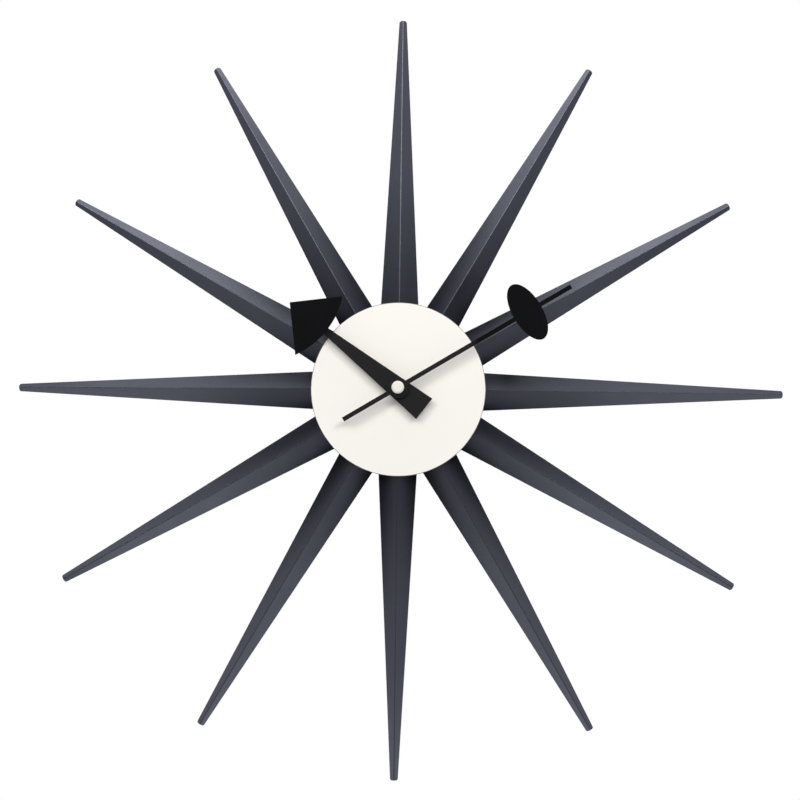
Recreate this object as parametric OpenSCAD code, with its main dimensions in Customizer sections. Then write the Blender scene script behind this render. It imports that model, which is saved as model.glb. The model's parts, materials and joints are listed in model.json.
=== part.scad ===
// Twelve-spike wall clock, quartz driven. Real size, in mm, +Z up.
// Origin: on the axis of the hands, in the plane of the wall.
// The dial faces -Y, 12 o'clock is +Z and +X is to the viewer's right.
// Sub-parts are drawn in the dial's plane as (x, up, h), where h is the height in front of the wall.

/* [Spikes] */
// Diameter across opposite spike tips
overall_d = 470; // [300:1:700]
// Number of spikes around the hub
spike_n = 12; // [8:1:16]
// Spike width where it meets the hub
spike_base_w = 24.4; // [12:0.1:26]
// Spike width at the tip
spike_tip_w = 5.0; // [2:0.1:10]
// Spike thickness where it meets the hub
spike_base_t = 21.4; // [10:0.1:26]
// Depth planed off each long edge, which leaves a narrow flat on the ridge
edge_flat = 0.2; // [0.05:0.05:1]
// Height of the spikes' middle plane in front of the wall
spike_h = 19; // [14:0.5:24]
// Radius of the tip where its chamfer starts
tip_r = 1.7; // [0.8:0.1:3]

/* [Hub] */
// Distance from the axis to each flat of the hub
hub_flat = 46; // [40:0.5:60]
// Height of the hub's rear face in front of the wall
hub_back = 2; // [1:0.5:5]
// Height of the hub's front face in front of the wall
hub_front = 30; // [24:0.5:36]
// Thickness of the hub's front web
web_t = 4; // [3:0.5:6]
// Radius of the pocket that holds the movement
pocket_r = 38.4; // [38:0.1:42]
// Length of the screw that holds each spike
spike_screw_l = 28; // [20:1:40]
// Radius of the locating dowel in each spike
dowel_r = 2.5; // [1.5:0.1:4]

/* [Dial and hands] */
// Dial radius
dial_r = 53.2; // [45:0.1:70]
// Dial sheet thickness
dial_t = 1.6; // [0.8:0.1:3]
// Sheet thickness of both hands
hand_t = 0.8; // [0.4:0.1:1.5]
// Height of the hour hand's rear face in front of the wall
hour_h = 35.8; // [34:0.1:38]
// Height of the minute hand's rear face in front of the wall
minute_h = 38.4; // [37:0.1:41]
// Rest angle of the minute hand, clockwise from 12
minute_angle = 59; // [0:1:360]
// Rest angle of the hour hand, clockwise from 12
hour_angle = 307.9; // [0:0.1:360]
// Reach of the minute hand from the axis to its tip
minute_l = 121.6; // [80:0.1:140]
// Reach of the minute hand's tail
minute_tail = 38.3; // [10:0.1:60]
// Width of the minute hand's strip
minute_w = 2.7; // [1:0.1:6]
// Distance from the axis to the middle of the minute hand's oval
oval_at = 90.9; // [60:0.1:110]
// Half of the oval's length, across the hand
oval_a = 19; // [8:0.1:30]
// Half of the oval's width, along the hand
oval_b = 9; // [4:0.1:16]
// Reach of the hour hand from the axis to its point
hour_l = 84.5; // [50:0.1:100]
// Half width of the hour hand's arrowhead
arrow_a = 23; // [8:0.1:30]
// Distance from the axis to the back of the arrowhead, on the hand's middle line
arrow_at = 56; // [30:0.1:70]
// Reach of the hour hand's tail
hour_tail = 20.3; // [8:0.1:30]
// Width of the hour hand at its tail
hour_tail_w = 15.7; // [6:0.1:20]
// Width of the hour hand at its arrowhead
hour_neck_w = 4.3; // [2:0.1:8]
// Radius of the cap over the hands
cap_r = 3.75; // [2.5:0.05:6]

/* [Movement] */
// Side of the square movement case
case_w = 56; // [54:0.5:60]
// Corner radius of the movement case
case_r = 5; // [3:0.5:8]
// Height of the movement's rear face in front of the wall
case_back = 9; // [8:0.5:12]
// Height of the movement's front face in front of the wall
case_front = 25; // [24:0.5:28]
// Side wall thickness of the case
case_wall = 0.9; // [0.8:0.1:2]
// Battery radius
cell_r = 7.1; // [5:0.1:7.3]
// Battery length over both ends
cell_l = 50.5; // [44:0.1:50.5]

/* [Gear teeth] */
// Pressure angle
press = 27; // [20:1:30]
// Share of each tooth's thickness taken off for backlash
thin = 0.14; // [0.05:0.01:0.3]
// Tooth height above the pitch circle, in modules
add_k = 0.75; // [0.6:0.05:1]
// Tooth depth below the pitch circle, in modules
ded_k = 1.0; // [0.9:0.05:1.3]

/* [Hidden] */
$fn = 64;

pitch = 360 / spike_n;
tip_at = overall_d / 2;
edge_scale = spike_tip_w / spike_base_w;
screw_h = spike_h - 4;
dowel_h = spike_h + 5;
dial_h = hub_front;
washer_h = dial_h + dial_t;
nut_h = washer_h + 0.5;
web_back = hub_front - web_t;
inner_front = case_front - 1.2;
inner_back = case_back + 1.4;
in_w = case_w - 2 * case_wall;
cell_up = -case_w / 2 + case_wall + cell_r + 0.15;
cell_h = case_back + 0.3 + cell_r;
bay_top = cell_up + cell_r + 0.15;

// gear data: modules and axes of the train, seen from the front
m_motion = 0.5;
m_hour = 0.48;
m_centre = 0.34;
m_third = 34 * m_centre / 36;
m_second = 0.3;
m_rotor = 0.26;
axis_set = [12, 0];
axis_third = [-34 * m_centre, 0];
dir_mid = 80;
axis_mid = 24 * m_second * [cos(dir_mid), sin(dir_mid)];
dir_rotor = 100;
axis_rotor = axis_mid + 28 * m_rotor * [cos(dir_rotor), sin(dir_rotor)];

// screw places on the movement
cover_at = [[-23.6, 23.6], [23.6, 23.6], [-24, -9.2], [24, -9.2]];
bridge_at = [[-8, 15], [8, 15]];
coil_at = [[-11, 22], [11, 22]];
stake_at = [[-17, 24.3], [17, 24.3]];
pad_angles = [30, 150, 210, 330];
pad_ring = 42.2;
hanger_x = 15;
hanger_up = 40.5;
keyhole_up = 32.5;
seat_up = 38.5;

// ---- helpers ----

// Stands a drawing of the dial's plane upright, with its height towards the viewer.
module upright() rotate([90, 0, 0]) children();

module at(p, h = 0) translate([p[0], p[1], h]) children();

// A disc or a ring from height h0 to h1.
module ring(r, h0, h1, bore = 0) {
    difference() {
        translate([0, 0, h0]) cylinder(r = r, h = h1 - h0);
        if (bore > 0) translate([0, 0, h0 - 1]) cylinder(r = bore, h = h1 - h0 + 2);
    }
}

module slab(h0, h1) translate([0, 0, h0]) linear_extrude(height = h1 - h0) children();

module box(x0, x1, up0, up1, h0, h1)
    translate([x0, up0, h0]) cube([x1 - x0, up1 - up0, h1 - h0]);

module rounded(w, l, r) {
    square([w - 2 * r, l], center = true);
    square([w, l - 2 * r], center = true);
    for (x = [-1, 1], y = [-1, 1])
        translate([x * (w / 2 - r), y * (l / 2 - r)]) circle(r = r);
}

function inv(a) = tan(a) - a * PI / 180;

// Half of a tooth's angle at radius r.
function tooth_half(n, m, r) =
    let (base = n * m / 2 * cos(press), a = acos(min(1, base / r)))
    90 / n * (1 - thin) + (inv(press) - inv(a)) * 180 / PI;

function polar(r, a) = [r * cos(a), r * sin(a)];

// Outline of one gear: a tooth is centred on angle 0.
function gear_outline(n, m) =
    let (rp = n * m / 2, tip = rp + add_k * m, root = rp - ded_k * m,
         low = max(root + 0.01, rp * cos(press)), mid = (low + tip) / 2)
    [for (i = [0:n - 1], s = [-1, 1], k = [0:3])
        let (j = s < 0 ? k : 3 - k,
             r = [root, low, mid, tip][j],
             a = tooth_half(n, m, max(r, low)))
        polar(r, i * 360 / n + s * a)];

// A gear with a tooth on direction dir, or a gap there when gap is 1.
module gear(n, m, h0, h1, dir, gap = 0)
    rotate(dir + gap * 180 / n) slab(h0, h1) polygon(gear_outline(n, m));

// Lightening holes of a wheel.
module holes(n, ring_r, r, h0, h1)
    for (i = [0:n - 1])
        rotate(i * 360 / n + 45) translate([ring_r, 0, h0 - 0.5]) cylinder(r = r, h = h1 - h0 + 1);

// A pan-head screw along -h: its head's outer face at h0, its point at h1 (h1 > h0).
module pan_screw(head_r, head_t, r, h0, h1) {
    difference() {
        ring(head_r, h0, h0 + head_t);
        for (a = [0, 90]) rotate(a)
            box(-head_r * 0.6, head_r * 0.6, -head_r * 0.13, head_r * 0.13, h0 - 1, h0 + head_t * 0.5);
    }
    ring(r, h0 + head_t, h1);
}

// ---- spikes and hub ----

// One side pair of a spike: a slab that tapers from the hub to the tip. d0 is its half height at the hub.
module taper(d0, cut = 0)
    linear_extrude(height = 60, center = true)
        polygon([[hub_flat, cut - d0], [tip_at, cut - d0 * edge_scale],
                 [tip_at, d0 * edge_scale - cut], [hub_flat, d0 - cut]]);

// A whole spike along +x, with its middle plane at height 0.
module spike_blank() {
    a = spike_base_w / 2;
    b = spike_base_t / 2;
    tilt = atan2(a, b);
    face = a * b / sqrt(a * a + b * b);
    intersection() {
        rotate([tilt, 0, 0]) taper(face);
        rotate([-tilt, 0, 0]) taper(face);
        rotate([90, 0, 0]) taper(b, edge_flat);
        taper(a, edge_flat);
        translate([hub_flat, 0, 0]) rotate([0, 90, 0])
            cylinder(r1 = tip_r + tip_at - hub_flat, r2 = tip_r, h = tip_at - hub_flat);
    }
}

// Puts children drawn along +x in the direction of hour k.
module toward(k) rotate(90 - k * pitch) children();

module along(r, x0, x1, h) translate([x0, 0, h]) rotate([0, 90, 0]) cylinder(r = r, h = x1 - x0);

module spike(k) color([0.07, 0.07, 0.09]) upright() toward(k) difference() {
    translate([0, 0, spike_h]) spike_blank();
    along(1.85, hub_flat - 1, pocket_r + spike_screw_l + 1.5, screw_h);
    along(dowel_r + 0.05, hub_flat - 1, hub_flat + 9.5, dowel_h);
}

module spike_01() spike(1);
module spike_02() spike(2);
module spike_03() spike(3);
module spike_04() spike(4);
module spike_05() spike(5);
module spike_06() spike(6);
module spike_07() spike(7);
module spike_08() spike(8);
module spike_09() spike(9);
module spike_10() spike(10);
module spike_11() spike(11);
module spike_12() spike(12);

// Twelve-sided hub: one flat per spike, a pocket for the movement behind a thin front web.
module hub_block() color([0.12, 0.11, 0.11]) upright() difference() {
    translate([0, 0, hub_back]) rotate(pitch / 2)
        cylinder(r = hub_flat / cos(pitch / 2), h = hub_front - hub_back, $fn = spike_n);
    ring(pocket_r, hub_back - 1, web_back);
    ring(4.3, web_back - 1, hub_front + 1);
    for (x = [-32, 32]) at([x, 0]) ring(1.05, hub_front - 3.2, hub_front + 1);
    for (k = [1:spike_n]) toward(k) {
        along(2.1, pocket_r - 2, hub_flat + 1, screw_h);
        translate([pocket_r - 0.4, 0, screw_h]) rotate([0, 90, 0]) cylinder(r1 = 4.1, r2 = 2.1, h = 2.6);
        along(dowel_r + 0.05, hub_flat - 6.2, hub_flat + 1, dowel_h);
    }
    slab(hub_back - 1, hub_back + 1.25) hanger_outline(0.15);
    slab(hub_back + 1, hub_back + 6) intersection() {
        translate([0, 40]) square([11, 12], center = true);
        circle(r = 43.5);
    }
    for (s = [-1, 1]) at([s * hanger_x, hanger_up]) ring(1.45, hub_back - 1, hub_back + 13);
}

module spike_screws() color([0.72, 0.70, 0.62]) upright() for (k = [1:spike_n]) toward(k)
    difference() {
        translate([pocket_r + 0.25, 0, screw_h]) rotate([0, 90, 0]) {
            cylinder(r1 = 3.6, r2 = 1.75, h = 2);
            translate([0, 0, 2]) cylinder(r = 1.75, h = spike_screw_l - 5);
            translate([0, 0, spike_screw_l - 3]) cylinder(r1 = 1.75, r2 = 0.3, h = 3);
        }
        translate([pocket_r, 0, screw_h]) rotate([0, 90, 0]) for (a = [0, 90])
            rotate(a) translate([-2, -0.4, -1]) cube([4, 0.8, 2.2]);
    }

module spike_dowels() color([0.80, 0.66, 0.45]) upright() for (k = [1:spike_n]) toward(k)
    along(dowel_r, hub_flat - 6, hub_flat + 9, dowel_h);

// ---- dial, hanger and pads ----

module dial_disc() color([0.97, 0.96, 0.92]) upright() difference() {
    ring(dial_r, dial_h, dial_h + dial_t, 4.15);
    for (x = [-32, 32]) at([x, 0]) ring(0.6, dial_h - 1, dial_h + 0.8);
}

// Two pins riveted into the back of the dial; they stop it turning on the hub.
module dial_feet() color([0.80, 0.65, 0.30]) upright() for (x = [-32, 32]) at([x, 0]) {
    ring(1, hub_front - 3, dial_h);
    ring(0.55, dial_h, dial_h + 0.7);
}

module hanger_outline(grow = 0) intersection() {
    translate([0, 35]) square([39 + 2 * grow, 19 + 2 * grow], center = true);
    circle(r = 44.5 + grow);
}

module hanger_plate() color([0.62, 0.64, 0.66]) upright() difference() {
    slab(hub_back, hub_back + 1.2) hanger_outline();
    at([0, keyhole_up]) ring(4.5, hub_back - 1, hub_back + 2);
    at([0, seat_up]) ring(2.3, hub_back - 1, hub_back + 2);
    box(-2.3, 2.3, keyhole_up, seat_up, hub_back - 1, hub_back + 2);
    for (s = [-1, 1]) at([s * hanger_x, hanger_up]) ring(1.7, hub_back - 1, hub_back + 2);
}

module hanger_screws() color([0.75, 0.73, 0.68]) upright() for (s = [-1, 1])
    at([s * hanger_x, hanger_up]) pan_screw(3, 1.2, 1.4, hub_back - 1.2, hub_back + 12);

module wall_pads() color([0.13, 0.13, 0.13]) upright() for (a = pad_angles)
    at(polar(pad_ring, a)) {
        ring(3.5, 0.4, hub_back);
        ring(3.1, 0, 0.4);
    }

// ---- movement case ----

module rubber_washer() color([0.08, 0.08, 0.08]) upright() ring(9, case_front, web_back, 4.1);

module brass_washer() color([0.78, 0.62, 0.28]) upright() ring(5.6, washer_h, nut_h, 4.1);

module hex_nut() color([0.78, 0.62, 0.28]) upright() difference() {
    translate([0, 0, nut_h]) cylinder(r = 5.75, h = 2.2, $fn = 6);
    ring(4.02, nut_h - 1, nut_h + 3);
}

// Threaded neck that clamps hub and dial; its flange sits inside the case.
module threaded_bushing() color([0.80, 0.65, 0.30]) upright() difference() {
    union() {
        ring(6, inner_front - 0.9, inner_front);
        ring(4, inner_front, case_front);
        ring(3.98, case_front, nut_h + 2.8);
    }
    ring(2.56, inner_front - 2, nut_h + 4);
}

module front_housing() color([0.16, 0.16, 0.17]) upright() difference() {
    union() {
        difference() {
            slab(case_back, case_front) rounded(case_w, case_w, case_r);
            slab(case_back - 1, inner_front) rounded(in_w, in_w, case_r - case_wall);
        }
        box(-in_w / 2, in_w / 2, bay_top, bay_top + 0.8, case_back, inner_front + 0.1);
        for (p = cover_at) at(p) ring(2.2, inner_back, inner_front + 0.1);
        for (p = bridge_at) at(p) ring(1.7, 18.4, inner_front + 0.1);
        for (p = coil_at) at(p) ring(1.5, 19.4, inner_front + 0.1);
        for (p = stake_at) at(p) {
            ring(1.2, 13, inner_front + 0.1);
            ring(0.6, 11.3, 13.1);
        }
        at(axis_third) ring(1.2, 17.6, inner_front + 0.1);
        at(axis_rotor) ring(1.5, 19.5, inner_front + 0.1);
    }
    ring(4.02, inner_front - 1, case_front + 1);
    for (p = cover_at) at(p) ring(0.85, inner_back - 1, 17.5);
    for (p = bridge_at) at(p) ring(0.85, 18, 22.8);
    for (p = coil_at) at(p) ring(0.85, 19, 23.4);
    at(axis_third) ring(0.42, 17, 19.4);
    at(axis_rotor) ring(0.42, 19, 20.9);
    at(axis_set) ring(0.86, inner_front - 1, inner_front + 0.7);
    box(-25.15, 25.15, -in_w / 2, bay_top - 0.01, case_back - 1, inner_front);
    for (s = [-1, 1]) box(s * 26.75 - 0.6, s * 26.75 + 0.6, bay_top - 1, bay_top + 2, 11.8, 15.8);
    for (s = [-1, 1]) box(s * 27.5 - 2.2, s * 27.5 + 2.2, cell_up - 4, cell_up + 4, case_back - 1, 10);
}

// Plate that closes the train. It sits inside the case walls, above the battery bay.
module rear_cover() color([0.20, 0.20, 0.21]) upright() difference() {
    union() {
        slab(case_back, inner_back) intersection() {
            rounded(in_w - 0.2, in_w - 0.2, case_r - case_wall);
            translate([-case_w, bay_top + 0.9]) square([2 * case_w, case_w]);
        }
        at([0, 0]) ring(1.1, inner_back - 0.1, 11.1);
        at(axis_third) ring(1.1, inner_back - 0.1, 12.4);
        at(axis_mid) ring(1.1, inner_back - 0.1, 11.1);
        at(axis_rotor) ring(1.1, inner_back - 0.1, 11.1);
        at(axis_set) ring(2.4, inner_back - 0.1, 12);
    }
    at([0, 0]) ring(0.42, 9.7, 12);
    at(axis_third) ring(0.42, 10, 13);
    at(axis_mid) ring(0.42, 9.7, 12);
    at(axis_rotor) ring(0.42, 9.7, 12);
    at(axis_set) ring(1.27, case_back - 1, 13);
    for (p = cover_at) at(p) ring(0.95, case_back - 1, inner_back + 1);
    for (a = [0:45:315]) at(axis_set) rotate(a) box(6.4, 7.4, -0.3, 0.3, case_back - 1, case_back + 0.3);
}

module cover_screws() color([0.72, 0.72, 0.74]) upright() for (p = cover_at)
    at(p) pan_screw(1.8, 0.9, 0.8, case_back - 0.9, 17);

// Inner plate: front bearing of the intermediate wheel, on two legs that clamp the stator.
module train_bridge() color([0.85, 0.84, 0.80]) upright() difference() {
    union() {
        box(-9.7, 9.7, 13.3, 16.7, 14.3, 15.1);
        box(axis_mid[0] - 2.2, axis_mid[0] + 2.2, 5.4, 14, 14.3, 15.1);
        for (p = bridge_at) at(p) ring(1.65, 14.3, 17.4);
    }
    for (p = bridge_at) at(p) ring(0.95, 13, 18);
    at(axis_rotor) ring(0.95, 13, 16);
    at(axis_mid) ring(0.42, 14, 16);
}

module movement_screws() color([0.72, 0.72, 0.74]) upright() {
    for (p = bridge_at) at(p) pan_screw(1.5, 0.8, 0.8, 13.5, 22.5);
    for (p = coil_at) at(p) pan_screw(1.5, 0.8, 0.8, 16.6, 23);
}

// ---- motor and circuit ----

module stator() color([0.60, 0.61, 0.63]) upright() slab(17.4, 18.4) difference() {
    union() {
        translate([-12.4, 10]) square([24.8, 8.3]);
        for (s = [-1, 1]) translate([s * 11.1 - 1.3, 17]) square([2.6, 7.4]);
    }
    translate(axis_rotor) circle(r = 3.4);
    for (a = [55, 235]) translate(axis_rotor) rotate(a) translate([3.4, 0]) circle(r = 0.45, $fn = 12);
    for (p = concat(bridge_at, coil_at)) translate(p) circle(r = 0.9);
}

module coil_core() color([0.55, 0.56, 0.58]) upright() difference() {
    box(-12.4, 12.4, 20.6, 23.4, 18.4, 19.4);
    for (p = coil_at) at(p) ring(0.9, 18, 20);
}

module coil_bobbin() color([0.93, 0.92, 0.88]) upright() difference() {
    union() {
        box(-8.8, 8.8, 20, 24, 17.8, 20);
        for (s = [-1, 1]) box(s * 9 - 0.25, s * 9 + 0.25, 18.9, 25.1, 15.8, 22);
    }
    box(-10, 10, 20.5, 23.5, 18.35, 19.45);
}

module coil_winding() color([0.72, 0.36, 0.16]) upright() translate([-8.7, 22, 18.9])
    rotate([90, 0, 90]) slab(0, 17.4) difference() {
        rounded(5.4, 5.4, 1.2);
        square([4.1, 2.3], center = true);
    }

module circuit_board() color([0.12, 0.35, 0.20]) upright() difference() {
    box(-20, 20, 17.4, 26.2, 12, 13);
    for (p = stake_at) at(p) ring(0.65, 11, 14);
}

module quartz_crystal() color([0.80, 0.81, 0.83]) upright() translate([11.6, 19.2, 14.02])
    rotate([0, 90, 0]) {
        cylinder(r = 1, h = 5.6);
        translate([0, 0, 5.6]) cylinder(r = 0.75, h = 0.4);
    }

module chip_cap() color([0.05, 0.05, 0.05]) upright() translate([-14.5, 20.5, 13])
    intersection() {
        cylinder(r = 2.4, h = 1);
        translate([0, 0, -3]) sphere(r = 3.95);
    }

// A bent strip: a plate at the battery's end, a leg up the case wall and a tab on the board.
module contact_strip() {
    box(26.3, 26.6, -24.6, bay_top - 0.4, 11.4, 20.6);
    box(26.3, 26.6, bay_top - 0.5, 21, 12.3, 15.3);
    box(18.6, 26.5, 18.6, 21, 13, 13.3);
}

module contact_positive() color([0.83, 0.80, 0.70]) upright() {
    contact_strip();
    translate([25.32, cell_up, cell_h]) rotate([0, 90, 0]) cylinder(r1 = 1.6, r2 = 2.6, h = 1.1);
}

// The negative strip carries a sprung leaf that leans against the battery's flat end.
module contact_negative() color([0.83, 0.80, 0.70]) upright() mirror([1, 0, 0]) {
    contact_strip();
    translate([0, cell_up + 2.5, cell_h]) rotate([90, 0, 0]) slab(0, 5)
        polygon([[26.4, 5.2], [25.32, 1.2], [25.32, -1.2], [26.2, -4.6], [26.4, -4.4],
                 [25.6, -1.1], [25.6, 1.1], [26.4, 4.2]]);
}

module battery() color([0.55, 0.56, 0.58]) upright() translate([0, cell_up, cell_h]) rotate([0, 90, 0]) {
    translate([0, 0, -cell_l / 2 + 0.3]) cylinder(r = cell_r, h = cell_l - 1.7);
    translate([0, 0, -cell_l / 2]) cylinder(r = cell_r - 1.6, h = 1);
    translate([0, 0, cell_l / 2 - 2]) cylinder(r = 2.7, h = 2);
}

// ---- wheels, from the fastest to the slowest ----

module rotor() color([0.30, 0.31, 0.34]) upright() at(axis_rotor) {
    ring(0.36, 9.9, 20.6);
    ring(0.55, 11.5, 19.2);
    gear(8, m_rotor, 11.5, 12.8, dir_rotor + 180);
    ring(2.9, 16.6, 19);
}

module intermediate_wheel() color([0.92, 0.90, 0.84]) upright() at(axis_mid) {
    ring(0.36, 9.9, 14.9);
    ring(0.6, 11.5, 14);
    difference() {
        gear(48, m_rotor, 11.6, 12.2, dir_rotor, 1);
        holes(4, 3.6, 1.3, 11.6, 12.2);
    }
    gear(8, m_second, 12.1, 13.9, dir_mid + 180);
}

module second_wheel() color([0.88, 0.86, 0.80]) upright() {
    ring(0.36, 9.9, 16.8);
    ring(0.44, 11.4, 16.8);
    difference() {
        gear(40, m_second, 13, 13.6, dir_mid, 1);
        holes(4, 3.7, 1.2, 13, 13.6);
    }
    gear(8, m_third, 13.5, 15.3, 180);
}

module third_wheel() color([0.90, 0.88, 0.82]) upright() at(axis_third) {
    ring(0.36, 10.2, 19.1);
    ring(0.7, 12.7, 17.3);
    difference() {
        gear(64, m_third, 14.3, 14.9, 0, 1);
        holes(5, 6.4, 2, 14.3, 14.9);
    }
    gear(8, m_centre, 14.8, 17.2, 0);
}

module centre_wheel() color([0.82, 0.66, 0.32]) upright() difference() {
    union() {
        gear(60, m_centre, 16, 16.8, 180, 1);
        ring(2.8, 15.9, 17.3);
    }
    ring(1.52, 15, 18);
    holes(5, 6.3, 2, 16, 16.8);
}

// Sprung washer that lets the hands slip on the train while they are being set.
module clutch_washer() color([0.80, 0.80, 0.82]) upright() ring(3.2, 17.3, 17.8, 1.55);

module minute_arbor() color([0.78, 0.78, 0.80]) upright() difference() {
    union() {
        ring(1.5, 15.7, minute_h + hand_t);
        gear(12, m_motion, 17.8, 19.8, 0);
        ring(1.1, minute_h + hand_t, minute_h + hand_t + 2.2);
    }
    ring(0.5, 15, 17.2);
}

module setting_wheel() color([0.90, 0.88, 0.84]) upright() at(axis_set) {
    ring(1.2, 5.4, 18.3);
    difference() {
        gear(36, m_motion, 18.2, 19.4, 180, 1);
        holes(4, 5.7, 1.8, 18.2, 19.4);
    }
    ring(1.9, 19.3, 20.5);
    gear(10, m_hour, 20.4, 23, 180);
    ring(0.8, 22.9, inner_front + 0.6);
}

module setting_knob() color([0.18, 0.18, 0.19]) upright() at(axis_set) difference() {
    union() {
        ring(5.4, 4.8, 7.6);
        ring(2.6, 7.5, 8.4);
    }
    ring(1.22, 5.2, 9);
    for (a = [0:20:340]) rotate(a) translate([5.6, 0, 4]) cylinder(r = 0.5, h = 3.7, $fn = 8);
}

module hour_wheel() color([0.90, 0.88, 0.84]) upright() difference() {
    union() {
        gear(40, m_hour, 21.2, 22.4, 0, 1);
        ring(2.5, 20.7, hour_h + hand_t + 0.3);
    }
    ring(1.58, 20, hour_h + 3);
    holes(5, 6.1, 1.7, 21.2, 22.4);
}

// ---- hands, drawn along +x and then turned to their time ----

module hour_hand() color([0.06, 0.06, 0.07]) upright() rotate(90 - hour_angle) difference() {
    slab(hour_h, hour_h + hand_t) {
        neck_u = arrow_at + 1;
        back = hour_l - arrow_a - arrow_at;
        arc_r = (arrow_a * arrow_a + back * back) / (2 * back);
        polygon([[-hour_tail, -hour_tail_w / 2], [neck_u, -hour_neck_w / 2],
                 [neck_u, hour_neck_w / 2], [-hour_tail, hour_tail_w / 2]]);
        intersection() {
            polygon([[hour_l, 0], [hour_l - arrow_a, arrow_a], [arrow_at - 2, arrow_a],
                     [arrow_at - 2, -arrow_a], [hour_l - arrow_a, -arrow_a]]);
            translate([arrow_at + arc_r, 0]) circle(r = arc_r);
        }
    }
    ring(2.52, hour_h - 1, hour_h + 2);
}

module minute_hand() color([0.06, 0.06, 0.07]) upright() rotate(90 - minute_angle) difference() {
    union() {
        slab(minute_h, minute_h + hand_t) {
            translate([-minute_tail, -minute_w / 2]) square([minute_tail + minute_l, minute_w]);
            translate([oval_at, 0])
                polygon([for (a = [0:5:355]) [oval_b * cos(a), oval_a * sin(a)]]);
            circle(r = 6.2);
        }
        ring(4.6, minute_h + hand_t - 0.1, minute_h + hand_t + 0.5);
    }
    ring(1.52, minute_h - 1, minute_h + hand_t);
    ring(1.6, minute_h + hand_t - 0.2, minute_h + 3);
}

module cap_nut() color([0.95, 0.94, 0.90]) upright() difference() {
    union() {
        ring(cap_r, minute_h + hand_t + 0.5, minute_h + hand_t + 2.4);
        translate([0, 0, minute_h + hand_t + 2.3]) cylinder(r1 = cap_r, r2 = cap_r - 0.9, h = 0.9);
    }
    ring(1.12, minute_h, minute_h + hand_t + 2.3);
}

hub_block();
spike_01();
spike_02();
spike_03();
spike_04();
spike_05();
spike_06();
spike_07();
spike_08();
spike_09();
spike_10();
spike_11();
spike_12();
spike_screws();
spike_dowels();
dial_disc();
dial_feet();
hanger_plate();
hanger_screws();
wall_pads();
rubber_washer();
brass_washer();
hex_nut();
threaded_bushing();
front_housing();
rear_cover();
cover_screws();
train_bridge();
movement_screws();
stator();
coil_core();
coil_bobbin();
coil_winding();
circuit_board();
quartz_crystal();
chip_cap();
contact_positive();
contact_negative();
battery();
rotor();
intermediate_wheel();
second_wheel();
third_wheel();
centre_wheel();
clutch_washer();
minute_arbor();
setting_wheel();
setting_knob();
hour_wheel();
hour_hand();
minute_hand();
cap_nut();
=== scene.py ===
"""Looks for the twelve-spike wall clock: finishes, edge rounding, small surface detail, studio and camera."""

import json
import math

import bmesh
import bpy
from mathutils import Matrix, Vector


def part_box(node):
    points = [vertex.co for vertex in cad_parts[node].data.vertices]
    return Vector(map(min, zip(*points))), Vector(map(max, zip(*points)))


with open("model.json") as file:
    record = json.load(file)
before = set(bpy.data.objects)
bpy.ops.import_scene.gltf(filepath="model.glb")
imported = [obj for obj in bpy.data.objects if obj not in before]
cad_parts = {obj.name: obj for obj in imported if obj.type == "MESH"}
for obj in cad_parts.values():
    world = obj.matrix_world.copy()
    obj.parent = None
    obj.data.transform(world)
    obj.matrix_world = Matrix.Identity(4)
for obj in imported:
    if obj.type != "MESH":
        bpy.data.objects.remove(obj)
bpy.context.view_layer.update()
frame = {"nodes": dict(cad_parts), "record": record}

MM = 0.001
nodes = frame["nodes"]
node_slot = frame["record"]["behaviour"].get("node_slot", {})


# ---------------------------------------------------------------- shader building blocks


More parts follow.
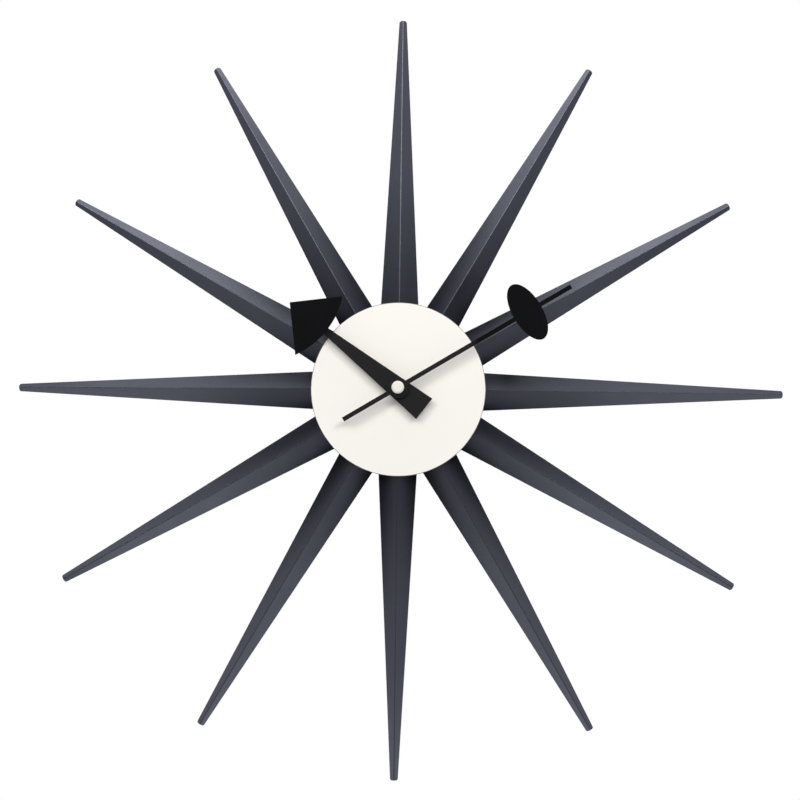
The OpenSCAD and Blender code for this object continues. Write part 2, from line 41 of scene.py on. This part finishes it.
class Shader:
    """A node material. Methods add nodes and return output sockets."""

    def __init__(self, name, unit=1000.0):
        self.mat = bpy.data.materials.new(name)
        self.mat.use_nodes = True
        self.tree = self.mat.node_tree
        self.tree.nodes.clear()
        self.out = self.node("ShaderNodeOutputMaterial")
        self.bsdf = self.node("ShaderNodeBsdfPrincipled")
        self.link(self.bsdf.outputs[0], self.out.inputs["Surface"])
        coord = self.node("ShaderNodeTexCoord").outputs["Object"]
        scaled = self.node("ShaderNodeVectorMath", operation="SCALE")
        self.link(coord, scaled.inputs[0])
        scaled.inputs["Scale"].default_value = unit
        self.mm = scaled.outputs[0]

    def node(self, kind, **settings):
        made = self.tree.nodes.new(kind)
        for key, value in settings.items():
            setattr(made, key, value)
        return made

    def link(self, a, b):
        self.tree.links.new(a, b)

    def feed(self, socket, value):
        if isinstance(value, bpy.types.NodeSocket):
            self.link(value, socket)
        elif isinstance(value, (tuple, list)) and len(value) == 3 and socket.type == "RGBA":
            socket.default_value = (*value, 1.0)
        else:
            socket.default_value = value

    def length(self, vector=None):
        made = self.node("ShaderNodeVectorMath", operation="LENGTH")
        self.link(vector or self.mm, made.inputs[0])
        return made.outputs["Value"]

    def math(self, op, a, b=0.0, clamp=False):
        made = self.node("ShaderNodeMath", operation=op, use_clamp=clamp)
        self.feed(made.inputs[0], a)
        self.feed(made.inputs[1], b)
        return made.outputs[0]

    def stretch(self, scale, vector=None, turn=(0.0, 0.0, 0.0)):
        made = self.node("ShaderNodeMapping")
        self.link(vector or self.mm, made.inputs["Vector"])
        made.inputs["Scale"].default_value = scale
        made.inputs["Rotation"].default_value = turn
        return made.outputs[0]

    def axis(self, which, vector=None):
        made = self.node("ShaderNodeSeparateXYZ")
        self.link(vector or self.mm, made.inputs[0])
        return made.outputs["XYZ".index(which)]

    def noise(self, size, detail=3.0, rough=0.5, vector=None, distort=0.0):
        """Noise with features of about size millimetres."""
        made = self.node("ShaderNodeTexNoise")
        self.link(vector or self.mm, made.inputs["Vector"])
        made.inputs["Scale"].default_value = 1.0 / size
        made.inputs["Detail"].default_value = detail
        made.inputs["Roughness"].default_value = rough
        made.inputs["Distortion"].default_value = distort
        return made.outputs["Fac"]

    def cells(self, size):
        """Cells of about size millimetres, each with its own colour and the distance to its centre."""
        made = self.node("ShaderNodeTexVoronoi")
        self.link(self.mm, made.inputs["Vector"])
        made.inputs["Scale"].default_value = 1.0 / size
        return made

    def spread(self, value, low, high, to_low=0.0, to_high=1.0):
        """Carries low..high over to to_low..to_high and stops at both ends."""
        made = self.node("ShaderNodeMapRange", clamp=True)
        self.link(value, made.inputs["Value"])
        made.inputs["From Min"].default_value = low
        made.inputs["From Max"].default_value = high
        made.inputs["To Min"].default_value = to_low
        made.inputs["To Max"].default_value = to_high
        return made.outputs[0]

    def mix(self, factor, a, b):
        made = self.node("ShaderNodeMix", data_type="RGBA")
        self.feed(made.inputs[0], factor)
        self.feed(made.inputs[6], a)
        self.feed(made.inputs[7], b)
        return made.outputs[2]

    def edge(self, radius):
        """1 at an edge, 0 on flat faces further than radius millimetres from one."""
        bevel = self.node("ShaderNodeBevel", samples=6)
        bevel.inputs["Radius"].default_value = radius * MM
        face = self.node("ShaderNodeNewGeometry").outputs["Normal"]
        dot = self.node("ShaderNodeVectorMath", operation="DOT_PRODUCT")
        self.link(bevel.outputs[0], dot.inputs[0])
        self.link(face, dot.inputs[1])
        return self.spread(dot.outputs["Value"], 0.995, 0.90)

    def bump(self, height, depth, normal=None):
        """Height in 0..1 stands for depth millimetres."""
        made = self.node("ShaderNodeBump")
        made.inputs["Strength"].default_value = 1.0
        made.inputs["Distance"].default_value = depth * MM
        self.link(height, made.inputs["Height"])
        if normal is not None:
            self.link(normal, made.inputs["Normal"])
        return made.outputs[0]

    def done(self, colour, rough, normal=None, **fixed):
        self.feed(self.bsdf.inputs["Base Color"], colour)
        self.feed(self.bsdf.inputs["Roughness"], rough)
        if normal is not None:
            self.link(normal, self.bsdf.inputs["Normal"])
        for key, value in fixed.items():
            self.bsdf.inputs[key.replace("_", " ")].default_value = value
        return self.mat


def shade(colour, factor):
    return tuple(c * factor for c in colour)


# ---------------------------------------------------------------- finishes


def lacquer(name, colour, rough, worn, peel=0.004):
    """Sprayed satin lacquer over wood: faint grain along the spike, orange peel, and edges lighter as rubbed
    wear and a painted ridge highlight.

    The reflection is darkened toward the hub as painted shade between the spike roots, and darkened on the
    edges as painted shade; it also has a painted cool blue cast.
    """
    grain = 0.007
    grain_radius = 110.0
    grain_stretch = 0.05
    hub_edge, clear_of_hub = 50.0, 135.0
    edge_light_full_reach, edge_light_faded_reach = 70.0, 150.0
    root_reflection_shade, edge_reflection_shade = 0.40, 0.2
    cool_reflection_tint = (0.78, 0.83, 1.0)
    s = Shader(name)
    angle = s.math("ARCTAN2", s.axis("X"), s.axis("Z"))
    reach = s.length()
    polar = s.node("ShaderNodeCombineXYZ")
    s.link(s.math("MULTIPLY", angle, grain_radius), polar.inputs[0])
    s.link(s.math("MULTIPLY", reach, grain_stretch), polar.inputs[1])
    s.link(s.axis("Y"), polar.inputs[2])
    fibre = s.noise(0.9, 5.0, 0.6, polar.outputs[0], 0.4)
    cloud = s.noise(38.0, 3.0, 0.55)
    peel_height = s.noise(0.85, 2.0, 0.5)
    dust = s.spread(s.noise(0.5, 1.0), 0.70, 0.78)
    base = s.mix(cloud, shade(colour, 0.86), shade(colour, 1.14))
    base = s.mix(s.spread(fibre, 0.35, 0.75, 0.0, 0.35), base, shade(colour, 1.45))
    base = s.mix(s.math("MULTIPLY", dust, 0.10), base, (0.16, 0.16, 0.17))
    edge = s.edge(0.45)
    # Edges lighter: partly rubbed wear, partly a painted ridge highlight, full near the hub and weaker toward
    # the tips.
    rub = s.math("MULTIPLY", edge, s.spread(s.noise(7.0, 4.0, 0.6), 0.35, 0.65, 0.15, 0.48))
    rub = s.math("MULTIPLY", rub, s.spread(reach, edge_light_full_reach, edge_light_faded_reach, 1.0, 0.3))
    base = s.mix(rub, base, worn)
    satin = s.spread(s.noise(16.0, 4.0, 0.6), 0.3, 0.7, rough - 0.03, rough + 0.04)
    satin = s.math("ADD", satin, s.math("MULTIPLY", fibre, 0.03))
    satin = s.math("ADD", satin, s.math("MULTIPLY", edge, 0.28))
    normal = s.bump(fibre, grain)
    normal = s.bump(peel_height, peel, normal)
    # Painted shade: the reflection is darkened toward the hub between the spike roots and on the edges, and
    # given a painted cool blue cast.
    shaded_reflection = s.mix(s.spread(reach, hub_edge, clear_of_hub), shade(cool_reflection_tint, root_reflection_shade), cool_reflection_tint)
    shaded_reflection = s.mix(s.math("MULTIPLY", edge, 0.8), shaded_reflection, shade(cool_reflection_tint, edge_reflection_shade))
    s.link(shaded_reflection, s.bsdf.inputs["Specular Tint"])
    return s.done(base, satin, normal, Specular_IOR_Level=1.0, IOR=1.6)


def paint(name, colour, rough, vary=0.03, spec=0.45, inner=None, rim=None):
    """Smooth sprayed enamel on sheet. With inner, the tone over the dial differs from that beyond it.

    With rim, the cut edge at that radius shows the dark sheet under the paint.
    """
    dial_edge, blend = 53.0, 3.0
    rim_starts, rim_full = 0.45, 0.15
    peel = 0.005
    s = Shader(name)
    cloud = s.noise(24.0, 3.0, 0.5)
    base = s.mix(cloud, shade(colour, 1.0 - vary), shade(colour, 1.0 + vary))
    flat = s.node("ShaderNodeCombineXYZ")
    s.link(s.axis("X"), flat.inputs[0])
    s.link(s.axis("Z"), flat.inputs[1])
    reach = s.length(flat.outputs[0])
    if inner:
        base = s.mix(s.spread(reach, dial_edge + blend, dial_edge - blend), base, inner)
    if rim:
        cut = s.spread(reach, rim - rim_starts, rim - rim_full)
        base = s.mix(cut, base, s.mix(s.noise(1.5, 3.0), (0.05, 0.05, 0.048), (0.11, 0.105, 0.10)))
    fleck = s.spread(s.noise(0.35, 1.0), 0.68, 0.76)
    base = s.mix(s.math("MULTIPLY", fleck, 0.05), base, shade(colour, 0.7))
    rub = s.math("MULTIPLY", s.edge(0.2), 0.25)
    base = s.mix(rub, base, shade(colour, 0.75) if colour[0] > 0.3 else (0.10, 0.10, 0.10))
    satin = s.spread(s.noise(9.0, 4.0, 0.6), 0.3, 0.7, rough - 0.03, rough + 0.04)
    normal = s.bump(s.noise(0.6, 2.0), peel)
    return s.done(base, satin, normal, Specular_IOR_Level=spec)


def moulded(name, colour, rough, texture, depth, spec=0.5, soft=0.0):
    """Injection moulded plastic or rubber with a spark-eroded texture of the given size."""
    worn = shade(colour, 1.8)
    s = Shader(name)
    cloud = s.noise(12.0, 3.0)
    base = s.mix(cloud, shade(colour, 0.9), shade(colour, 1.1))
    pits = s.cells(texture).outputs["Distance"]
    grit = s.noise(texture * 0.8, 2.0)
    scuff = s.spread(s.noise(3.0, 5.0, 0.7, s.stretch((0.25, 1.0, 1.0))), 0.62, 0.72)
    base = s.mix(s.math("MULTIPLY", scuff, 0.12), base, worn)
    base = s.mix(s.math("MULTIPLY", s.edge(0.3), 0.35), base, shade(colour, 1.7))
    matt = s.spread(grit, 0.3, 0.7, rough - 0.05, rough + 0.06)
    matt = s.math("SUBTRACT", matt, s.math("MULTIPLY", scuff, 0.1))
    normal = s.bump(pits, depth)
    normal = s.bump(grit, depth * 0.6, normal)
    return s.done(base, matt, normal, Specular_IOR_Level=spec, Subsurface_Weight=soft,
                  Subsurface_Scale=0.0008)


def metal(name, colour, rough, brushed, tarnish=None, spangle=0.0):
    """Bare or plated metal with brushing along one axis and patches of tarnish."""
    depth = 0.004
    s = Shader(name)
    lines = s.noise(0.25, 4.0, 0.65, s.stretch(brushed))
    cloud = s.noise(5.0, 4.0, 0.6)
    base = s.mix(lines, shade(colour, 0.88), shade(colour, 1.08))
    if spangle:
        flake = s.cells(spangle)
        tone = s.node("ShaderNodeSeparateColor")
        s.link(flake.outputs["Color"], tone.inputs[0])
        base = s.mix(s.math("MULTIPLY", tone.outputs[0], 0.35), base, shade(colour, 0.72))
    base = s.mix(s.spread(cloud, 0.45, 0.75, 0.0, 0.55), base, tarnish or shade(colour, 0.6))
    base = s.mix(s.math("MULTIPLY", s.edge(0.15), 0.5), base, shade(colour, 1.25))
    satin = s.spread(lines, 0.3, 0.7, rough - 0.06, rough + 0.08)
    satin = s.math("ADD", satin, s.spread(cloud, 0.4, 0.8, 0.0, 0.14))
    normal = s.bump(lines, depth)
    return s.done(base, satin, normal, Metallic=1.0)


def wood(name, colour):
    """Turned beech with flecked, straight grain."""
    s = Shader(name)
    along = s.noise(1.2, 5.0, 0.6, s.stretch((1.0, 1.0, 0.12)), 0.6)
    fleck = s.spread(s.noise(0.4, 2.0, 0.5, s.stretch((1.0, 1.0, 0.3))), 0.6, 0.7)
    base = s.mix(along, shade(colour, 0.72), shade(colour, 1.12))
    base = s.mix(s.math("MULTIPLY", fleck, 0.5), base, shade(colour, 0.5))
    return s.done(base, s.spread(along, 0.3, 0.7, 0.55, 0.7), s.bump(along, 0.03))


def winding(name, colour):
    """Enamelled wire wound round the X axis in close turns, with painted shade in the grooves between the
    turns.
    """
    s = Shader(name)
    turns = s.node("ShaderNodeTexWave", wave_type="BANDS", bands_direction="X", wave_profile="SIN")
    s.link(s.mm, turns.inputs["Vector"])
    turns.inputs["Scale"].default_value = 1.9
    turns.inputs["Distortion"].default_value = 0.35
    turns.inputs["Detail"].default_value = 1.0
    wire = turns.outputs["Fac"]
    # Painted shade: the colour is darkened in the grooves between the turns.
    base = s.mix(wire, shade(colour, 0.25), colour)
    base = s.mix(s.spread(s.noise(2.5), 0.4, 0.7, 0.0, 0.4), base, shade(colour, 0.6))
    return s.done(base, s.spread(wire, 0.0, 1.0, 0.5, 0.28), s.bump(wire, 0.12), Metallic=0.8,
                  Coat_Weight=0.6, Coat_Roughness=0.2)


def board(name, mask, copper):
    """Circuit board: green solder mask over straight copper tracks, with tinned pads."""
    s = Shader(name)
    tracks = s.node("ShaderNodeTexBrick", offset=0.5, squash=1.0)
    s.link(s.stretch((1.0, 1.0, 1.0), turn=(math.pi / 2, 0.0, 0.0)), tracks.inputs["Vector"])
    tracks.inputs["Scale"].default_value = 0.22
    tracks.inputs["Mortar Size"].default_value = 0.05
    tracks.inputs["Mortar Smooth"].default_value = 0.1
    line = tracks.outputs["Fac"]
    pad = s.spread(s.cells(3.4).outputs["Distance"], 0.20, 0.16)
    weave = s.noise(0.3, 2.0)
    base = s.mix(line, mask, shade(mask, 1.9))
    base = s.mix(weave, base, shade(mask, 1.2))
    base = s.mix(pad, base, copper)
    height = s.math("MAXIMUM", line, pad)
    return s.done(base, s.spread(pad, 0.0, 1.0, 0.35, 0.25), s.bump(height, 0.03), Coat_Weight=0.3)


def sleeve(name, x0, x1):
    """Plain printed battery sleeve: dark body, pale band at the positive end, bare steel ends."""
    s = Shader(name)
    place = s.spread(s.axis("X"), x0 / MM, x1 / MM)
    ramp = s.node("ShaderNodeValToRGB")
    ramp.color_ramp.interpolation = "CONSTANT"
    steel, dark, pale = (0.60, 0.60, 0.58, 1.0), (0.045, 0.055, 0.075, 1.0), (0.55, 0.57, 0.58, 1.0)
    stops = ramp.color_ramp.elements
    stops[0].color = steel
    stops[1].position = 0.02
    stops[1].color = dark
    for position, tone in ((0.70, pale), (0.725, dark), (0.745, pale), (0.955, steel)):
        stops.new(position).color = tone
    s.link(place, ramp.inputs[0])
    ends = s.math("ADD", s.math("LESS_THAN", place, 0.02), s.math("GREATER_THAN", place, 0.955), True)
    haze = s.noise(6.0, 4.0)
    base = s.mix(s.spread(haze, 0.5, 0.8, 0.0, 0.12), ramp.outputs[0], (0.35, 0.35, 0.35))
    wrinkle = s.noise(1.6, 3.0, 0.5, s.stretch((0.15, 1.0, 1.0)))
    s.link(ends, s.bsdf.inputs["Metallic"])
    return s.done(base, s.spread(haze, 0.3, 0.7, 0.24, 0.36), s.bump(wrinkle, 0.012), Coat_Weight=0.0)


SPIKE = (0.0062, 0.0065, 0.0088)
battery_lo, battery_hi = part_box("battery")
FINISHES = {
    "spike_lacquer": lacquer("satin_black_lacquer", SPIKE, 0.29, (0.060, 0.060, 0.062)),
    "hub_lacquer": lacquer("hub_lacquer", (0.020, 0.020, 0.022), 0.48, (0.10, 0.09, 0.08), 0.009),
    "hand_black": paint("hand_enamel", (0.0024, 0.0025, 0.0036), 0.60, vary=0.12, spec=0.05,
                        inner=(0.0150, 0.0147, 0.0147)),
    "dial_cream": paint("cream_enamel", (0.858, 0.834, 0.768), 0.50, vary=0.008,
                        rim=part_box("dial_disc")[1].x / MM),
    "cap_cream": paint("cap_enamel", (0.775, 0.750, 0.675), 0.42, vary=0.01),
    "beech": wood("turned_beech", (0.56, 0.38, 0.22)),
    "zinc_steel": metal("zinc_plated_steel", (0.56, 0.58, 0.60), 0.34, (0.15, 1.0, 1.0), spangle=2.2),
    "yellow_zinc": metal("yellow_passivated_steel", (0.66, 0.55, 0.30), 0.33, (1.0, 1.0, 0.3),
                         (0.45, 0.36, 0.30)),
    "steel_grey": metal("stamped_lamination", (0.42, 0.43, 0.44), 0.42, (0.3, 1.0, 1.0)),
    "magnet_dark": moulded("bonded_magnet", (0.045, 0.043, 0.042), 0.5, 0.12, 0.01),
    "brass": metal("turned_brass", (0.78, 0.58, 0.27), 0.26, (1.0, 0.2, 1.0), (0.50, 0.34, 0.14)),
    "rubber_black": moulded("black_rubber", (0.022, 0.022, 0.021), 0.78, 0.35, 0.02, 0.35),
    "case_black": moulded("moulded_case", (0.030, 0.030, 0.031), 0.52, 0.42, 0.02),
    "knob_black": moulded("moulded_knob", (0.055, 0.055, 0.058), 0.42, 0.3, 0.008),
    "gear_white": moulded("acetal", (0.78, 0.77, 0.72), 0.34, 0.6, 0.003, soft=0.15),
    "bobbin_white": moulded("bobbin_nylon", (0.70, 0.67, 0.58), 0.40, 0.6, 0.004, soft=0.1),
    "copper_wire": winding("enamelled_copper", (0.62, 0.26, 0.11)),
    "board_green": board("circuit_board", (0.010, 0.085, 0.035), (0.62, 0.60, 0.52)),
    "chip_black": moulded("chip_resin", (0.014, 0.014, 0.015), 0.28, 0.8, 0.006),
    "crystal_can": metal("drawn_can", (0.66, 0.67, 0.69), 0.22, (0.2, 1.0, 1.0)),
    "spring_metal": metal("nickel_spring_strip", (0.63, 0.61, 0.56), 0.27, (1.0, 0.2, 1.0)),
    "cell_sleeve": sleeve("battery_sleeve", battery_lo.x, battery_hi.x),
}


# ---------------------------------------------------------------- edge rounding


SHARP = math.radians(32)
SAME_FACE = math.radians(0.4)


def smooth_group():
    """Geometry nodes that smooth every face and keep edges over the SHARP angle."""
    group = bpy.data.node_groups.new("smooth_faces", "GeometryNodeTree")
    group.interface.new_socket("Geometry", in_out="INPUT", socket_type="NodeSocketGeometry")
    group.interface.new_socket("Geometry", in_out="OUTPUT", socket_type="NodeSocketGeometry")
    start = group.nodes.new("NodeGroupInput")
    end = group.nodes.new("NodeGroupOutput")
    clear = group.nodes.new("GeometryNodeRemoveAttribute")
    clear.inputs["Name"].default_value = "custom_normal"
    faces = group.nodes.new("GeometryNodeSetShadeSmooth")
    edges = group.nodes.new("GeometryNodeSetShadeSmooth")
    edges.domain = "EDGE"
    angle = group.nodes.new("GeometryNodeInputMeshEdgeAngle")
    flat = group.nodes.new("FunctionNodeCompare")
    flat.operation = "LESS_THAN"
    flat.inputs["B"].default_value = SHARP
    link = group.links.new
    link(start.outputs[0], clear.inputs["Geometry"])
    link(clear.outputs[0], faces.inputs["Geometry"])
    link(faces.outputs[0], edges.inputs["Geometry"])
    link(angle.outputs["Unsigned Angle"], flat.inputs["A"])
    link(flat.outputs[0], edges.inputs["Shade Smooth"])
    link(edges.outputs[0], end.inputs[0])
    return group


SMOOTH = smooth_group()


def round_edges(obj, width, segments):
    """Merges the imported triangles into clean faces, rounds the sharp edges and evens the shading.

    The width is in millimetres.
    """
    weld = obj.modifiers.new("weld", "WELD")
    weld.merge_threshold = 1e-6
    flat = obj.modifiers.new("flat", "DECIMATE")
    flat.decimate_type = "DISSOLVE"
    flat.angle_limit = SAME_FACE
    bevel = obj.modifiers.new("edges", "BEVEL")
    bevel.width = width * MM
    bevel.segments = segments
    bevel.limit_method = "ANGLE"
    bevel.angle_limit = SHARP
    bevel.use_clamp_overlap = True
    smooth = obj.modifiers.new("smooth", "NODES")
    smooth.node_group = SMOOTH
    even = obj.modifiers.new("even", "WEIGHTED_NORMAL")
    even.keep_sharp = True


# Width of the rounding in millimetres and its segments
ROUNDING = {
    "spike": (0.15, 3),
    "hub_block": (0.35, 2),
    "dial_disc": (0.3, 3),
    "hour_hand": (0.12, 2),
    "minute_hand": (0.12, 2),
    "cap_nut": (0.3, 3),
    "front_housing": (0.15, 2),
    "rear_cover": (0.15, 2),
    "setting_knob": (0.12, 2),
    "wall_pads": (0.25, 2),
    "hanger_plate": (0.1, 2),
    "hex_nut": (0.15, 2),
}

for name, obj in nodes.items():
    slot_name = node_slot.get(name) or obj.data.materials[0].name
    finish = FINISHES[slot_name]
    for i in range(len(obj.material_slots)):
        obj.material_slots[i].link = "OBJECT"
        obj.material_slots[i].material = finish
    kind = "spike" if name.startswith("spike_") and name[6:].isdigit() else name
    if kind in ROUNDING:
        round_edges(obj, *ROUNDING[kind])


# ---------------------------------------------------------------- studio


def stage_floor(level, radius):
    """A plain pale floor below the clock that fades out into the white surroundings."""
    mesh = bpy.data.meshes.new("floor")
    shape = bmesh.new()
    bmesh.ops.create_circle(shape, cap_ends=True, radius=radius, segments=96)
    shape.to_mesh(mesh)
    shape.free()
    floor = bpy.data.objects.new("floor", mesh)
    floor.location = (0.0, 0.0, level)
    floor.visible_diffuse = False
    floor.visible_glossy = False
    bpy.context.scene.collection.objects.link(floor)
    s = Shader("pale_floor", 1.0)
    tone = s.noise(0.4, 4.0, 0.6)
    s.link(s.spread(s.length(), radius, radius * 0.35), s.bsdf.inputs["Alpha"])
    mesh.materials.append(s.done(s.mix(tone, (0.88, 0.88, 0.87), (0.93, 0.93, 0.92)), 0.85))


def softbox(name, place, size, power):
    """A square area light that faces the clock's middle."""
    light = bpy.data.lights.new(name, "AREA")
    light.shape = "SQUARE"
    light.size = size
    light.energy = power
    obj = bpy.data.objects.new(name, light)
    obj.location = place
    obj.rotation_euler = (-Vector(place)).to_track_quat("-Z", "Y").to_euler()
    obj.visible_camera = False
    bpy.context.scene.collection.objects.link(obj)


def studio_world():
    """White surroundings, which light the clock from an arch over it, from behind and from below.

    Only the camera sees them pure white. The light they give is a little cool.
    """
    world = bpy.data.worlds.new("studio")
    world.use_nodes = True
    tree = world.node_tree
    back = tree.nodes["Background"]

    def node(kind, **settings):
        made = tree.nodes.new(kind)
        for key, value in settings.items():
            setattr(made, key, value)
        return made

    def calc(op, a, b):
        made = node("ShaderNodeMath", operation=op)
        for socket, value in zip(made.inputs, (a, b)):
            if isinstance(value, float):
                socket.default_value = value
            else:
                tree.links.new(value, socket)
        return made.outputs[0]

    def step(value, low, high, top):
        """A soft step from 0 at low to top at high."""
        made = node("ShaderNodeMapRange", interpolation_type="SMOOTHSTEP")
        tree.links.new(value, made.inputs["Value"])
        made.inputs["From Min"].default_value = low
        made.inputs["From Max"].default_value = high
        made.inputs["To Max"].default_value = top
        return made.outputs[0]

    way = node("ShaderNodeSeparateXYZ")
    tree.links.new(node("ShaderNodeTexCoord").outputs["Generated"], way.inputs[0])
    arch_plane = 0.035
    fill = 0.03
    off_plane = calc("ABSOLUTE", calc("SUBTRACT", way.outputs["Y"], arch_plane), 0.0)
    arch = calc("MULTIPLY", step(off_plane, 0.47, 0.22, 0.81), step(way.outputs["Z"], -0.25, 0.0, 1.0))
    rear = step(way.outputs["Y"], 0.40, 0.75, 0.60)
    bounce = step(way.outputs["Z"], -0.02, -0.25, 0.48)
    light = calc("ADD", calc("ADD", arch, calc("MAXIMUM", rear, bounce)), fill)
    seen = node("ShaderNodeLightPath").outputs["Is Camera Ray"]
    tree.links.new(calc("MAXIMUM", light, seen), back.inputs["Strength"])
    cool = node("ShaderNodeMix", data_type="RGBA")
    tree.links.new(seen, cool.inputs[0])
    cool.inputs[6].default_value = (0.93, 0.92, 1.0, 1.0)
    cool.inputs[7].default_value = (1.0, 1.0, 1.0, 1.0)
    tree.links.new(cool.outputs[2], back.inputs["Color"])
    bpy.context.scene.world = world


stage_floor(-0.9, 2.6)
studio_world()
softbox("front", (0.0, -2.0, 1.0), 1.0, 16.2)
softbox("key_left", (-0.85, -1.3, 0.75), 0.6, 10.7)
softbox("key_right", (0.85, -1.3, 0.75), 0.6, 10.7)
softbox("top", (0.0, -0.06, 0.46), 0.22, 0.24)
softbox("top_left", (-0.18, -0.06, 0.43), 0.22, 0.12)
softbox("top_right", (0.18, -0.06, 0.43), 0.22, 0.05)
softbox("low", (0.0, -0.06, -0.40), 0.24, 0.13)
softbox("low_right", (0.30, -0.06, -0.36), 0.3, 0.14)
softbox("low_left", (-0.30, -0.06, -0.36), 0.3, 0.14)
softbox("rear_left", (0.8, 1.6, 0.8), 0.8, 9.0)
softbox("rear_right", (-0.8, 1.6, 0.8), 0.8, 9.0)
scene = bpy.context.scene
scene.view_settings.view_transform = "Standard"


# ---------------------------------------------------------------- camera

VIEW_AZIMUTH = 1.39
VIEW_ELEVATION = -5.89
VIEW_ROLL = 0.70
VIEW_DISTANCE = 0.924
AIM = Vector((0.0009, -0.019, -0.0055))

lens = bpy.data.cameras.new("camera")
lens.sensor_width = 36.0
lens.lens = 67.5
camera = bpy.data.objects.new("camera", lens)
az, el = math.radians(VIEW_AZIMUTH), math.radians(VIEW_ELEVATION)
back = Vector((math.sin(az) * math.cos(el), -math.cos(az) * math.cos(el), math.sin(el)))
turn = (-back).to_track_quat("-Z", "Y").to_matrix().to_4x4()
roll = Matrix.Rotation(math.radians(VIEW_ROLL), 4, "Z")
camera.matrix_world = Matrix.Translation(AIM + back * VIEW_DISTANCE) @ turn @ roll
scene.collection.objects.link(camera)
scene.camera = camera
